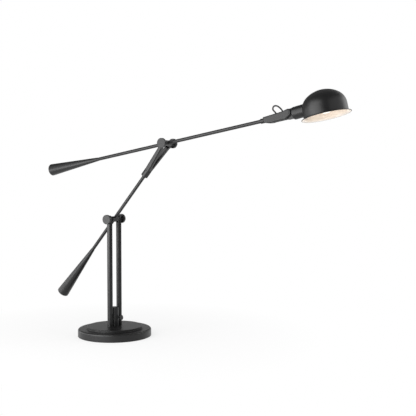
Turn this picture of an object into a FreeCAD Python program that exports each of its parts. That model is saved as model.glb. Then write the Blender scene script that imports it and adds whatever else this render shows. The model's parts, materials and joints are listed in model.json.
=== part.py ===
"""Counterweight balance desk lamp.

A round stepped base carries two upright posts. A weighted lower arm turns between the tops of the
posts, and a weighted upper arm turns in a yoke at the end of the lower arm. A forked head swivels on
the end of the upper arm and carries a tilting lamp cup with a domed shade. A turn switch stands
between the posts.

Millimetres. +Z is up, +X runs from the posts to the shade, and Y runs along the axles. The origin is
the middle of the face that the base stands on.
"""
import FreeCAD, Part
import math
import os

from FreeCAD import Placement, Rotation, Vector

# ---------------------------------------------------------------- driving dimensions
# Base
BASE_RADIUS = 105.0
BASE_TIER_HEIGHT = 22.8
BASE_EDGE_RADIUS = 5.0
BASE_SHEET = 1.6
BASE_LIP_HEIGHT = 1.0
STEP_RADIUS = 79.4
STEP_HEIGHT = 6.4
STEP_EDGE_RADIUS = 1.2
STEP_BEAD = 1.0
FELT_THICKNESS = 2.0
BASE_SIDE_CLEARANCE = 0.6
CORD_CHANNEL_WIDTH = 9.0
CORD_CHANNEL_HEIGHT = 10.5

# Cord inlet at the back of the base
INLET_HEIGHT = 11.5
INLET_BORE_RADIUS = 3.6
INLET_OUTER_RADIUS = 5.4
INLET_FLANGE_RADIUS = 7.2
INLET_FLANGE = 1.8

# Posts
POST_RADIUS = 7.7
POST_OFFSET = 21.1
POST_BORE_RADIUS = 2.8
POST_HEAD_HALF = 7.0
POST_HEAD_DROP = 11.0
NIPPLE_RADIUS = 5.0
NIPPLE_GRIP = 16.0
NIPPLE_END_PROUD = 1.5
NUT_FLATS = 16.0
NUT_THICKNESS = 5.0
NUT_WASHER_RADIUS = 10.5
NUT_WASHER = 1.5
NUT_POCKET_RADIUS = 11.5
NUT_POCKET_HEIGHT = 9.0

# Switch
CAN_RADIUS = 11.8
CAN_HEIGHT = 54.0
CAN_SHEET = 1.2
CAN_EDGE_RADIUS = 1.5
SWITCH_BLOCK_HEIGHT = 26.0
SWITCH_BLOCK_CLEARANCE = 0.4
KEY_HEIGHT = 25.2
KEY_STEM_RADIUS = 2.2
KEY_STEM_START = 1.0
KEY_STEM_REACH = 19.0
KEY_GRIP_OVERLAP = 1.0
KEY_PADDLE_LENGTH = 10.5
KEY_PADDLE_WIDTH = 14.0
KEY_PADDLE_THICKNESS = 3.2
KEY_BUSH_RADIUS = 4.2
KEY_BUSH_LENGTH = 3.0
KEY_HOLE_RADIUS = 3.2
CAN_SCREW_RADIUS = 2.0
CAN_SCREW_HEAD_RADIUS = 4.0
CAN_SCREW_HEAD = 2.6

# Axles, hubs and knobs, the same on both arms
AXLE_HEIGHT = 336.7
HUB_RADIUS = 8.0
HUB_HALF = 13.0
HUB_CHAMFER = 0.6
AXLE_WASHER = 1.0
STUD_RADIUS = 3.0
STUD_ENGAGEMENT = 6.8
RUNNING_CLEARANCE = 0.05
FACE_CLEARANCE = 0.1
KNOB_RADIUS = 13.4
KNOB_DISC = 7.0
KNOB_EDGE_RADIUS = 0.9
LOWER_AXLE_HALF_SPAN = 37.4
ELBOW_HALF_SPAN = 31.2

# Arms
ROD_RADIUS = 4.75
ROD_BORE_RADIUS = 2.55
LOWER_ARM_ELEVATION = 49.3
UPPER_ARM_ELEVATION = 9.9
LOWER_ARM_LENGTH = 281.7
UPPER_ARM_LENGTH = 374.0
LOWER_WEIGHT_START = 121.0
UPPER_WEIGHT_START = 246.0
WEIGHT_LENGTH = 177.0
WEIGHT_THIN_RADIUS = 5.3
WEIGHT_THICK_RADIUS = 17.3
WEIGHT_EDGE_RADIUS = 2.2
WEIGHT_END_WALL = 14.0
WEIGHT_SCREW_RADIUS = 2.0
WEIGHT_SCREW_STATION = 75.0
WEIGHT_SCREW_RECESS = 0.6

# Yoke at the end of the lower arm
FERRULE_START = 163.0
FERRULE_LENGTH = 21.0
FERRULE_RADIUS = 10.0
FERRULE_EDGE_RADIUS = 0.8
YOKE_NECK_RADIUS = 9.4
YOKE_BLOCK = 15.0
YOKE_ROD_WALL = 4.0
YOKE_CROTCH_HALF = 2.0
TINE_THICKNESS = 7.5
TINE_BODY_THICKNESS = 10.5
TINE_HALF_WIDTH = 5.8
TINE_ROOT_HALF_WIDTH = 7.4
TINE_STRAIGHT = 16.0
TINE_POCKET = 10.5
TINE_ROUNDING = 3.4
TINE_EYE_RADIUS = 8.0

# Head fork, and the collar behind it
COLLAR_LENGTH = 10.8
COLLAR_GAP = 0.2
COLLAR_RADIUS = 6.5
FORK_BACK = 71.0
FORK_END_TOP = 8.2
FORK_END_BOTTOM = 5.6
FORK_TOP = 11.6
FORK_BOTTOM = 10.2
FORK_BELLY_LENGTH = 30.0
FORK_BELLY_REACH = 0.4
FORK_BELLY_FULLNESS = 0.88
FORK_FLAT_LENGTH = 62.0
FORK_HALF_WIDTH = 10.6
FORK_ROUNDING = 3.6
FORK_BORE_DEPTH = 24.0
FORK_SLOT_HALF = 4.3
ROD_END_SETBACK = 1.0
GROOVE_STATION = 11.0
GROOVE_HALF_WIDTH = 1.7
GROOVE_DEPTH = 0.9
FORK_SCREW_RADIUS = 1.5
FORK_SCREW_TIP_GAP = 0.15

# Head pin and knuckle
PIN_RISE = 5.6
PIN_RADIUS = 2.5
EAR_RADIUS = 9.3
EAR_UNDER_TURN = -60.0
EAR_TOP_TURN = 100.0
PIN_HEAD_RADIUS = 4.4
PIN_HEAD = 1.0
PIN_NUT_FLATS = 8.0
PIN_NUT = 3.0
HEAD_RISE = 3.2
KNUCKLE_HALF = 3.6
KNUCKLE_EYE_RADIUS = 9.0
KNUCKLE_DROP = 17.5
KNUCKLE_BACK = 8.5
KNUCKLE_CORNER_RADIUS = 5.0
KNUCKLE_WASHER = 0.55
KNUCKLE_WASHER_RADIUS = 8.0

# Lamp cup and holder, along the head from the pin
CUP_START = 10.6
CUP_DROP = 5.6
CUP_RADIUS = 16.2
CUP_SHEET = 1.6
CUP_BACK_WALL = 3.0
CUP_BACK_ROUNDING = 3.5
HOLDER_START = 17.0
HOLDER_RADIUS = 12.6
HOLDER_BORE_RADIUS = 8.4
HOLDER_FLOOR = 7.0
HOLDER_END = 52.0
HOLDER_CLEARANCE = 0.4
SHELL_RADIUS = 7.9
SHELL_WALL = 0.6
CONTACT_RADIUS = 3.0
CONTACT_THICKNESS = 1.4
CAP_RADIUS = 6.9
RING_RADIUS = 18.5
RING_FRONT = 13.0

# Shade
SHADE_AHEAD = 95.0
SHADE_DROP = 35.1
SHADE_RADIUS = 55.8
SHADE_RIM_RADIUS = 62.4
SHADE_RIM_HEIGHT = 4.2
SHADE_FLARE_REACH = 0.3
SHADE_FLARE_RISE = 0.42
SHADE_WALL_HEIGHT = 22.9
SHADE_HEIGHT = 66.7
SHADE_SHOULDER = 38.0
SHADE_SHEET = 1.0
LINER_SHEET = 0.5

# Bulb
BULB_RADIUS = 22.5
BULB_NECK_RADIUS = 9.5
BULB_AHEAD = 97.0
BULB_SHOULDER_TURN = 46.0
BULB_NECK_MIDDLE = 66.0
BULB_NECK_SWELL = 0.9
BULB_GLASS = 0.9

# Cords
CORD_RADIUS = 2.0
CORD_HOLE_RADIUS = 2.3
CORD_WAY_RADIUS = 2.8
HEAD_CORD_HOLE_DROP = 9.0
LEAD_END_GAP = 14.0
POST_LEAD_SETBACK = 1.0
CORD_JOIN_DEPTH = 3.0

# How far a cut runs on past the face it opens, and how near an edge lies to a face it is picked by
CUT_PAST = 1.0
PICK_WITHIN = 0.01

# ---------------------------------------------------------------- worked out from them
STEP_TOP = BASE_TIER_HEIGHT + STEP_HEIGHT
HUB_FACE = HUB_HALF + AXLE_WASHER + FACE_CLEARANCE
POST_OUTER_FACE = POST_OFFSET + POST_HEAD_HALF
TINE_OUTER_FACE = HUB_FACE + TINE_THICKNESS
STUD_BORE_RADIUS = STUD_RADIUS + RUNNING_CLEARANCE
WASHER_BORE_RADIUS = STUD_RADIUS + 3 * RUNNING_CLEARANCE
FERRULE_END = FERRULE_START + FERRULE_LENGTH
KEY_LEVEL = STEP_TOP + KEY_HEIGHT
FORK_START = UPPER_ARM_LENGTH - FORK_BACK
COLLAR_END = FORK_START - COLLAR_GAP
COLLAR_START = COLLAR_END - COLLAR_LENGTH
FORK_SLOT_START = FORK_START + FORK_BORE_DEPTH
ROD_END = FORK_SLOT_START - ROD_END_SETBACK
YOKE_ROD_END = FERRULE_END + YOKE_BLOCK - YOKE_ROD_WALL
NIPPLE_BOTTOM = FELT_THICKNESS + NUT_POCKET_HEIGHT - NUT_WASHER - NUT_THICKNESS - NIPPLE_END_PROUD
POST_PLACES = (-POST_OFFSET, POST_OFFSET)
CAP_END = HOLDER_END + HOLDER_CLEARANCE

# The head cord's route in the fork's middle plane: (ahead of the fork's back, above the rod's axis)
HEAD_CORD_ROUTE = [
    (CORD_JOIN_DEPTH, 0.0),
    (26.0, 0.0),
    (34.0, 1.5),
    (36.5, 8.0),
    (32.5, 15.0),
    (26.5, 23.0),
    (31.0, 31.5),
    (42.0, 29.5),
    (53.0, 16.0),
    (55.5, 3.5),
    (59.5, -3.6),
    (69.0, -3.6),
    (85.0, -2.7),
]

X_AXIS = Vector(1, 0, 0)
Y_AXIS = Vector(0, 1, 0)
Z_AXIS = Vector(0, 0, 1)
ORIGIN = Vector(0, 0, 0)

# ---------------------------------------------------------------- frames
# Each arm is drawn lying along +X with its axle at the origin, and is then put in its place.
lower_arm_frame = Placement(Vector(0, 0, AXLE_HEIGHT), Rotation(Y_AXIS, -LOWER_ARM_ELEVATION))
elbow_place = lower_arm_frame.multVec(Vector(LOWER_ARM_LENGTH, 0, 0))
upper_arm_frame = Placement(elbow_place, Rotation(Y_AXIS, -UPPER_ARM_ELEVATION))
pin_frame = upper_arm_frame.multiply(Placement(Vector(UPPER_ARM_LENGTH, 0, PIN_RISE), Rotation()))
head_frame = pin_frame.multiply(Placement(ORIGIN, Rotation(Y_AXIS, -HEAD_RISE)))
base_frame = Placement()


# ---------------------------------------------------------------- drawing helpers
def upright(z_from, z_to, radius, x=0.0, y=0.0):
    """A round bar along Z."""
    return Part.makeCylinder(radius, z_to - z_from, Vector(x, y, z_from), Z_AXIS)


def along(x_from, x_to, radius, y=0.0, z=0.0):
    """A round bar along X."""
    return Part.makeCylinder(radius, x_to - x_from, Vector(x_from, y, z), X_AXIS)


def across(y_from, y_to, radius, x=0.0, z=0.0):
    """A round bar along Y."""
    return Part.makeCylinder(radius, y_to - y_from, Vector(x, y_from, z), Y_AXIS)


def block(low, high):
    """A box between two corners."""
    size = Vector(*high) - Vector(*low)
    return Part.makeBox(size.x, size.y, size.z, Vector(*low))


def drawn_face(start, steps, to_point):
    """A flat face inside a closed outline. A step is an end, or a middle and an end for an arc."""
    edges = []
    here = to_point(*start)
    for step in steps:
        if isinstance(step[0], tuple):
            middle = to_point(*step[0])
            end = to_point(*step[1])
            edges.append(Part.Arc(here, middle, end).toShape())
        else:
            end = to_point(*step)
            edges.append(Part.LineSegment(here, end).toShape())
        here = end
    return Part.Face(Part.Wire(edges))


def in_side_view(a, b):
    return Vector(a, 0, b)


def in_top_view(a, b):
    return Vector(a, b, 0)


def turned_about_z(start, steps):
    """A solid of revolution from an outline of (radius, height)."""
    return drawn_face(start, steps, in_side_view).revolve(ORIGIN, Z_AXIS, 360)


def turned_about_x(start, steps):
    """A solid of revolution from an outline of (place along X, radius)."""
    return drawn_face(start, steps, in_side_view).revolve(ORIGIN, X_AXIS, 360)


def side_plate(start, steps, half_width):
    """A plate cut to an outline in the side view, even to both sides of the middle plane."""
    face = drawn_face(start, steps, in_side_view)
    face.translate(Vector(0, -half_width, 0))
    return face.extrude(Vector(0, 2 * half_width, 0))


def on_arc(centre, radius, degrees):
    """The point of an arc that lies in the given direction from its centre."""
    turn = math.radians(degrees)
    return (centre[0] + radius * math.cos(turn), centre[1] + radius * math.sin(turn))


def mirrored(shape):
    """The same piece on the other side of the lamp's middle plane."""
    return shape.mirror(ORIGIN, Y_AXIS)


def hexagon(flats, height, place, direction):
    """A hexagonal prism, measured across its flats."""
    points = []
    for corner in range(7):
        turn = math.radians(60 * corner)
        points.append(Vector(math.cos(turn), math.sin(turn), 0) * (flats / math.sqrt(3)))
    prism = Part.Face(Part.makePolygon(points)).extrude(Vector(0, 0, height))
    prism.Placement = Placement(place, Rotation(Z_AXIS, direction))
    return prism


def tube_along(points, radius, name):
    """A round tube on straight runs joined by tangent arcs, and its route's length."""
    edges = []
    radii = []
    here = points[0]
    for before, corner, after in zip(points, points[1:], points[2:]):
        back = before - corner
        ahead = after - corner
        half_turn = (math.pi - back.getAngle(ahead)) / 2
        cut = 0.45 * min(back.Length, ahead.Length)
        radii.append(cut / math.tan(half_turn))
        enter = corner + back.normalize() * cut
        leave = corner + ahead.normalize() * cut
        inward = (enter + leave) * 0.5 - corner
        depth = radii[-1] / math.cos(half_turn) - radii[-1]
        edges.append(Part.LineSegment(here, enter).toShape())
        edges.append(Part.Arc(enter, corner + inward.normalize() * depth, leave).toShape())
        here = leave
    edges.append(Part.LineSegment(here, points[-1]).toShape())
    path = Part.Wire(edges)
    circle = Part.Wire(Part.makeCircle(radius, points[0], points[1] - points[0]))
    tube = path.makePipeShell([circle], True, False)
    print(name, "length", round(path.Length, 1), "radii", [round(r, 1) for r in radii])
    print(name, "volume", round(tube.Volume, 1), "wanted", round(math.pi * radius**2 * path.Length, 1))
    return tube


def save(name, shape, frame=base_frame):
    """Puts a piece in its frame and writes it."""
    placed = shape.copy()
    placed.Placement = frame.multiply(placed.Placement)
    if len(placed.Solids) == 1:
        placed = placed.Solids[0]
    if not placed.isValid():
        print("NOT VALID:", name)
    placed.exportStep("parts/" + name + ".step")


# ---------------------------------------------------------------- base
def tier(radius, bottom, top, edge_radius):
    """A round tier with a rounded upper edge."""
    centre = (radius - edge_radius, top - edge_radius)
    return turned_about_z(
        (0, bottom),
        [
            (radius, bottom),
            (radius, top - edge_radius),
            (on_arc(centre, edge_radius, 45), (radius - edge_radius, top)),
            (0, top),
            (0, bottom),
        ],
    )


def cover_skin():
    """The spun cover with its inlet's hole, before its top is drilled."""
    outside = tier(BASE_RADIUS, BASE_LIP_HEIGHT, BASE_TIER_HEIGHT, BASE_EDGE_RADIUS)
    inner_top = BASE_TIER_HEIGHT - BASE_SHEET
    inside = tier(BASE_RADIUS - BASE_SHEET, BASE_LIP_HEIGHT, inner_top, BASE_EDGE_RADIUS - BASE_SHEET)
    skin = outside.cut(inside)
    return skin.cut(along(-BASE_RADIUS - CUT_PAST, -BASE_RADIUS / 2, INLET_OUTER_RADIUS, 0, INLET_HEIGHT))


def base_cover():
    cover = cover_skin()
    for y in POST_PLACES:
        cover = cover.cut(upright(0, STEP_TOP, NIPPLE_RADIUS, 0, y))
    return cover.cut(upright(0, STEP_TOP, CAN_SCREW_RADIUS))


def base_step():
    step = tier(STEP_RADIUS, BASE_TIER_HEIGHT, STEP_TOP, STEP_EDGE_RADIUS)
    bead = tier(STEP_RADIUS + STEP_BEAD, BASE_TIER_HEIGHT, BASE_TIER_HEIGHT + 2 * STEP_BEAD, STEP_BEAD)
    step = step.fuse(bead).removeSplitter()
    for y in POST_PLACES:
        step = step.cut(upright(0, STEP_TOP + CUT_PAST, NIPPLE_RADIUS, 0, y))
    return step.cut(upright(0, STEP_TOP + CUT_PAST, CAN_SCREW_RADIUS))


def base_weight():
    top = BASE_TIER_HEIGHT - BASE_SHEET
    radius = BASE_RADIUS - BASE_SHEET - BASE_SIDE_CLEARANCE
    weight = tier(radius, FELT_THICKNESS, top, BASE_EDGE_RADIUS)
    pocket_top = FELT_THICKNESS + NUT_POCKET_HEIGHT
    for y in POST_PLACES:
        weight = weight.cut(upright(0, top, NIPPLE_RADIUS, 0, y))
        weight = weight.cut(upright(0, pocket_top, NUT_POCKET_RADIUS, 0, y))
    weight = weight.cut(upright(0, top, CAN_SCREW_RADIUS))
    half = CORD_CHANNEL_WIDTH / 2
    channel_top = FELT_THICKNESS + CORD_CHANNEL_HEIGHT + half
    weight = weight.cut(block((-radius, -half, 0), (0, half, channel_top)))
    weight = weight.cut(block((-half, -POST_OFFSET, 0), (half, POST_OFFSET, pocket_top)))
    entry_end = -BASE_RADIUS + BASE_SHEET + 4 * INLET_FLANGE
    return weight.cut(block((-BASE_RADIUS, -INLET_FLANGE_RADIUS, 0), (entry_end, INLET_FLANGE_RADIUS, top)))


def felt_pad():
    radius = BASE_RADIUS - BASE_SHEET - BASE_SIDE_CLEARANCE
    return upright(0, FELT_THICKNESS, radius)


def cord_bushing():
    """The inlet's rubber bushing, with a flange on each side of the cover's wall."""
    outer_end = -BASE_RADIUS - INLET_FLANGE
    inner_end = -BASE_RADIUS + BASE_SHEET + INLET_FLANGE
    bushing = along(outer_end, inner_end, INLET_FLANGE_RADIUS, 0, INLET_HEIGHT)
    bushing = bushing.cut(cover_skin())
    return bushing.cut(along(outer_end - CUT_PAST, inner_end + CUT_PAST, INLET_BORE_RADIUS, 0, INLET_HEIGHT))


def post_nipples():
    pieces = []
    for y in POST_PLACES:
        bar = upright(NIPPLE_BOTTOM, STEP_TOP + NIPPLE_GRIP, NIPPLE_RADIUS, 0, y)
        pieces.append(bar.cut(upright(0, STEP_TOP + 2 * NIPPLE_GRIP, POST_BORE_RADIUS, 0, y)))
    return Part.makeCompound(pieces)


def post_washers():
    pieces = []
    top = FELT_THICKNESS + NUT_POCKET_HEIGHT
    for y in POST_PLACES:
        washer = upright(top - NUT_WASHER, top, NUT_WASHER_RADIUS, 0, y)
        pieces.append(washer.cut(upright(0, top + CUT_PAST, NIPPLE_RADIUS, 0, y)))
    return Part.makeCompound(pieces)


def post_nuts():
    pieces = []
    top = FELT_THICKNESS + NUT_POCKET_HEIGHT - NUT_WASHER
    for y in POST_PLACES:
        nut = hexagon(NUT_FLATS, NUT_THICKNESS, Vector(0, y, top - NUT_THICKNESS), Z_AXIS)
        pieces.append(nut.cut(upright(0, top + CUT_PAST, NIPPLE_RADIUS, 0, y)))
    return Part.makeCompound(pieces)


# ---------------------------------------------------------------- posts
def post(y):
    """A hollow post with a faced, round-topped head that is bored for the axle."""
    dome_centre = AXLE_HEIGHT + POST_HEAD_DROP - POST_RADIUS
    bar = upright(STEP_TOP, dome_centre, POST_RADIUS, 0, y)
    bar = bar.fuse(Part.makeSphere(POST_RADIUS, Vector(0, y, dome_centre))).removeSplitter()
    head_bottom = AXLE_HEIGHT - POST_HEAD_DROP
    head_top = AXLE_HEIGHT + POST_HEAD_DROP + CUT_PAST
    for side in (-1, 1):
        face = y + side * POST_HEAD_HALF
        beyond = y + side * (POST_RADIUS + CUT_PAST)
        low = (-POST_RADIUS, min(face, beyond), head_bottom)
        high = (POST_RADIUS, max(face, beyond), head_top)
        bar = bar.cut(block(low, high))
    bar = bar.cut(across(y - POST_RADIUS, y + POST_RADIUS, STUD_BORE_RADIUS, 0, AXLE_HEIGHT))
    bar = bar.cut(upright(STEP_TOP, head_bottom - HUB_RADIUS, POST_BORE_RADIUS, 0, y))
    return bar.cut(upright(STEP_TOP, STEP_TOP + NIPPLE_GRIP, NIPPLE_RADIUS, 0, y))


def post_lead():
    """The cord inside the front post."""
    top = AXLE_HEIGHT - POST_HEAD_DROP - HUB_RADIUS
    return upright(NIPPLE_BOTTOM, top - POST_LEAD_SETBACK, CORD_RADIUS, 0, -POST_OFFSET)


# ---------------------------------------------------------------- switch
def switch_can():
    top = STEP_TOP + CAN_HEIGHT
    can = tier(CAN_RADIUS, STEP_TOP, top, CAN_EDGE_RADIUS)
    can = can.cut(upright(STEP_TOP, top - CAN_SHEET, CAN_RADIUS - CAN_SHEET))
    return can.cut(along(0, CAN_RADIUS + CUT_PAST, KEY_HOLE_RADIUS, 0, KEY_LEVEL))


def switch_block():
    """The switch's moulded body, which stands on a foot and takes the key's stem."""
    radius = CAN_RADIUS - CAN_SHEET - SWITCH_BLOCK_CLEARANCE
    half = SWITCH_BLOCK_HEIGHT / 2
    body = upright(KEY_LEVEL - half, KEY_LEVEL + half, radius)
    foot = upright(STEP_TOP, KEY_LEVEL - half, radius / 2)
    body = body.fuse(foot).removeSplitter()
    body = body.cut(along(0, CAN_RADIUS, KEY_STEM_RADIUS + RUNNING_CLEARANCE, 0, KEY_LEVEL))
    return body.cut(upright(STEP_TOP, STEP_TOP + NIPPLE_GRIP / 2, CAN_SCREW_RADIUS))


def switch_bush():
    """The threaded nut round the key's stem, on the can's side."""
    seat = math.sqrt(CAN_RADIUS**2 - KEY_BUSH_RADIUS**2)
    bush = along(seat, seat + KEY_BUSH_LENGTH, KEY_BUSH_RADIUS, 0, KEY_LEVEL)
    bush = bush.cut(upright(STEP_TOP, STEP_TOP + CAN_HEIGHT, CAN_RADIUS))
    return bush.cut(along(0, seat + 2 * KEY_BUSH_LENGTH, KEY_STEM_RADIUS + RUNNING_CLEARANCE, 0, KEY_LEVEL))


def switch_key():
    """A stem with a flat oval grip that turns about X."""
    stem = along(KEY_STEM_START, KEY_STEM_REACH + KEY_GRIP_OVERLAP, KEY_STEM_RADIUS)
    half_length = KEY_PADDLE_LENGTH / 2
    half_width = KEY_PADDLE_WIDTH / 2
    grip_place = KEY_STEM_REACH + half_length
    oval = Part.Ellipse(ORIGIN, half_width, half_length).toShape()
    grip = Part.Face(Part.Wire(oval)).extrude(Vector(0, 0, KEY_PADDLE_THICKNESS))
    grip.translate(Vector(0, 0, -KEY_PADDLE_THICKNESS / 2))
    grip.Placement = Placement(Vector(grip_place, 0, 0), Rotation(X_AXIS, 90)).multiply(
        Placement(ORIGIN, Rotation(Z_AXIS, 90)).multiply(grip.Placement)
    )
    key = stem.fuse(grip).removeSplitter()
    key.translate(Vector(0, 0, KEY_LEVEL))
    return key


def can_screw():
    """The screw that holds the switch from below."""
    head_top = FELT_THICKNESS + NUT_POCKET_HEIGHT
    shank = upright(head_top, STEP_TOP + NIPPLE_GRIP / 2, CAN_SCREW_RADIUS)
    head = upright(head_top - CAN_SCREW_HEAD, head_top, CAN_SCREW_HEAD_RADIUS)
    return shank.fuse(head).removeSplitter()


# ---------------------------------------------------------------- axles
def hub():
    """A cross bar that turns between the cheeks, bored for the rod and tapped at both ends."""
    bar = across(-HUB_HALF, HUB_HALF, HUB_RADIUS)
    rims = [edge for edge in bar.Edges if edge.Closed]
    bar = bar.makeChamfer(HUB_CHAMFER, rims)
    bar = bar.cut(along(-HUB_RADIUS - CUT_PAST, HUB_RADIUS + CUT_PAST, ROD_RADIUS))
    for side in (-1, 1):
        outer = side * (HUB_HALF + CUT_PAST)
        inner = side * (HUB_HALF - STUD_ENGAGEMENT - AXLE_WASHER)
        bar = bar.cut(across(min(outer, inner), max(outer, inner), STUD_BORE_RADIUS))
    return bar


def washer_pair(inner_face):
    """A pair of axle washers that start at the given distance from the middle plane."""
    ring = across(inner_face, inner_face + AXLE_WASHER, HUB_RADIUS)
    ring = ring.cut(across(0, inner_face + 2 * AXLE_WASHER, WASHER_BORE_RADIUS))
    return Part.makeCompound([mirrored(ring), ring])


def knob(cheek_face, half_span):
    """A plain round clamping knob with its boss and stud, on the +Y side."""
    seat = cheek_face + AXLE_WASHER + FACE_CLEARANCE
    disc = across(half_span - KNOB_DISC, half_span, KNOB_RADIUS)
    rims = [edge for edge in disc.Edges if edge.Closed]
    disc = disc.makeFillet(KNOB_EDGE_RADIUS, rims)
    boss = across(seat, half_span - KNOB_DISC / 2, HUB_RADIUS)
    stud = across(HUB_HALF - STUD_ENGAGEMENT, half_span - KNOB_DISC / 2, STUD_RADIUS)
    return disc.fuse(boss).fuse(stud).removeSplitter()


# ---------------------------------------------------------------- arms
def counterweight(start):
    """A long cone on the rod's tail, thin towards the axle, with its tapped hole for a screw."""
    end = start + WEIGHT_LENGTH
    edge_centre = (-end + WEIGHT_EDGE_RADIUS, WEIGHT_THICK_RADIUS - WEIGHT_EDGE_RADIUS)
    cone = turned_about_x(
        (-start, 0),
        [
            (-start, WEIGHT_THIN_RADIUS),
            (-end + WEIGHT_EDGE_RADIUS, WEIGHT_THICK_RADIUS),
            (on_arc(edge_centre, WEIGHT_EDGE_RADIUS, 135), (-end, edge_centre[1])),
            (-end, 0),
            (-start, 0),
        ],
    )
    cone = cone.cut(along(-end + WEIGHT_END_WALL, -start + CUT_PAST, ROD_RADIUS))
    return cone.cut(weight_screw_bar(start, WEIGHT_THICK_RADIUS))


def weight_screw_bar(start, reach):
    rod_skin = Vector(-start - WEIGHT_SCREW_STATION, 0, -ROD_RADIUS)
    return Part.makeCylinder(WEIGHT_SCREW_RADIUS, reach - ROD_RADIUS, rod_skin, -Z_AXIS)


def weight_screw(start):
    """The grub screw that clamps the weight on the rod, a little below the cone's skin."""
    slope = (WEIGHT_THICK_RADIUS - WEIGHT_THIN_RADIUS) / WEIGHT_LENGTH
    skin = WEIGHT_THIN_RADIUS + slope * (WEIGHT_SCREW_STATION - WEIGHT_SCREW_RADIUS)
    screw = weight_screw_bar(start, skin - WEIGHT_SCREW_RECESS)
    return screw.cut(along(-start - WEIGHT_LENGTH, -start, ROD_RADIUS))


def lower_rod():
    tail = -LOWER_WEIGHT_START - WEIGHT_LENGTH + WEIGHT_END_WALL
    rod = along(tail, YOKE_ROD_END, ROD_RADIUS)
    return rod.cut(along(tail - CUT_PAST, YOKE_ROD_END + CUT_PAST, ROD_BORE_RADIUS))


def lower_lead():
    """The cord inside the lower rod."""
    return along(LEAD_END_GAP, FERRULE_END, CORD_RADIUS)


def upper_rod():
    tail = -UPPER_WEIGHT_START - WEIGHT_LENGTH + WEIGHT_END_WALL
    rod = along(tail, ROD_END, ROD_RADIUS)
    rod = rod.cut(along(tail - CUT_PAST, ROD_END + CUT_PAST, ROD_BORE_RADIUS))
    station = FORK_START + GROOVE_STATION
    groove = along(station - GROOVE_HALF_WIDTH, station + GROOVE_HALF_WIDTH, ROD_RADIUS + CUT_PAST)
    return rod.cut(groove.cut(along(FORK_START, FORK_SLOT_START, ROD_RADIUS - GROOVE_DEPTH)))


def upper_lead():
    """The cord inside the upper rod, up to where the head cord takes over."""
    return along(LEAD_END_GAP, FORK_START + CORD_JOIN_DEPTH, CORD_RADIUS)


def yoke_ferrule():
    ring = along(FERRULE_START, FERRULE_END, FERRULE_RADIUS)
    rims = [edge for edge in ring.Edges if edge.Closed]
    ring = ring.makeFillet(FERRULE_EDGE_RADIUS, rims)
    return ring.cut(along(FERRULE_START - CUT_PAST, FERRULE_END + CUT_PAST, ROD_RADIUS))


def yoke():
    """A two-tined yoke: tines that spread from a block at the ferrule to the elbow's hub.

    The tines are thick along their length, and each has a shallow pocket where the hub's end turns.
    """
    eye = LOWER_ARM_LENGTH
    crotch = FERRULE_END + YOKE_BLOCK
    spread_end = eye - TINE_STRAIGHT
    pocket = eye - TINE_POCKET
    tip = eye + TINE_EYE_RADIUS
    body_face = TINE_OUTER_FACE - TINE_BODY_THICKNESS
    plan = drawn_face(
        (FERRULE_END, -YOKE_NECK_RADIUS),
        [
            (spread_end, -TINE_OUTER_FACE),
            (tip, -TINE_OUTER_FACE),
            (tip, -HUB_FACE),
            (pocket, -HUB_FACE),
            (spread_end, -body_face),
            (crotch, -YOKE_CROTCH_HALF),
            ((crotch - YOKE_CROTCH_HALF, 0), (crotch, YOKE_CROTCH_HALF)),
            (spread_end, body_face),
            (pocket, HUB_FACE),
            (tip, HUB_FACE),
            (tip, TINE_OUTER_FACE),
            (spread_end, TINE_OUTER_FACE),
            (FERRULE_END, YOKE_NECK_RADIUS),
            (FERRULE_END, -YOKE_NECK_RADIUS),
        ],
        in_top_view,
    )
    plan.translate(Vector(0, 0, -TINE_EYE_RADIUS))
    spread = plan.extrude(Vector(0, 0, 2 * TINE_EYE_RADIUS))
    bar = side_plate(
        (FERRULE_END, -TINE_ROOT_HALF_WIDTH),
        [
            (spread_end, -TINE_HALF_WIDTH),
            (eye, -TINE_HALF_WIDTH),
            (eye, TINE_HALF_WIDTH),
            (spread_end, TINE_HALF_WIDTH),
            (FERRULE_END, TINE_ROOT_HALF_WIDTH),
            (FERRULE_END, -TINE_ROOT_HALF_WIDTH),
        ],
        TINE_OUTER_FACE,
    )
    body = spread.common(bar)
    body = body.makeFillet(TINE_ROUNDING, outer_tine_edges(body, spread_end))
    for side in (-1, 1):
        inner = side * HUB_FACE
        outer = side * TINE_OUTER_FACE
        ear = across(min(inner, outer), max(inner, outer), TINE_EYE_RADIUS, eye)
        rims = [edge for edge in ear.Edges if edge.Closed and abs(edge.CenterOfMass.y - outer) < PICK_WITHIN]
        body = body.fuse(ear.makeFillet(HUB_CHAMFER, rims))
    body = body.removeSplitter()
    body = body.cut(across(-TINE_OUTER_FACE - CUT_PAST, TINE_OUTER_FACE + CUT_PAST, STUD_BORE_RADIUS, eye))
    return body.cut(along(FERRULE_END - CUT_PAST, YOKE_ROD_END, ROD_RADIUS))


def outer_tine_edges(body, spread_end):
    """The long edges along the outer faces of the spreading stretch of both tines."""
    edges = []
    for edge in body.Edges:
        places = [vertex.Point for vertex in edge.Vertexes]
        ends = sorted(place.x for place in places)
        is_long = abs(ends[0] - FERRULE_END) < PICK_WITHIN and abs(ends[-1] - spread_end) < PICK_WITHIN
        if is_long and all(abs(place.y) > YOKE_NECK_RADIUS - PICK_WITHIN for place in places):
            edges.append(edge)
    return edges


# ---------------------------------------------------------------- head fork
def swivel_collar():
    ring = along(COLLAR_START, COLLAR_END, COLLAR_RADIUS)
    rims = [edge for edge in ring.Edges if edge.Closed]
    ring = ring.makeChamfer(HUB_CHAMFER, rims)
    return ring.cut(along(COLLAR_START - CUT_PAST, COLLAR_END + CUT_PAST, ROD_RADIUS))


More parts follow.
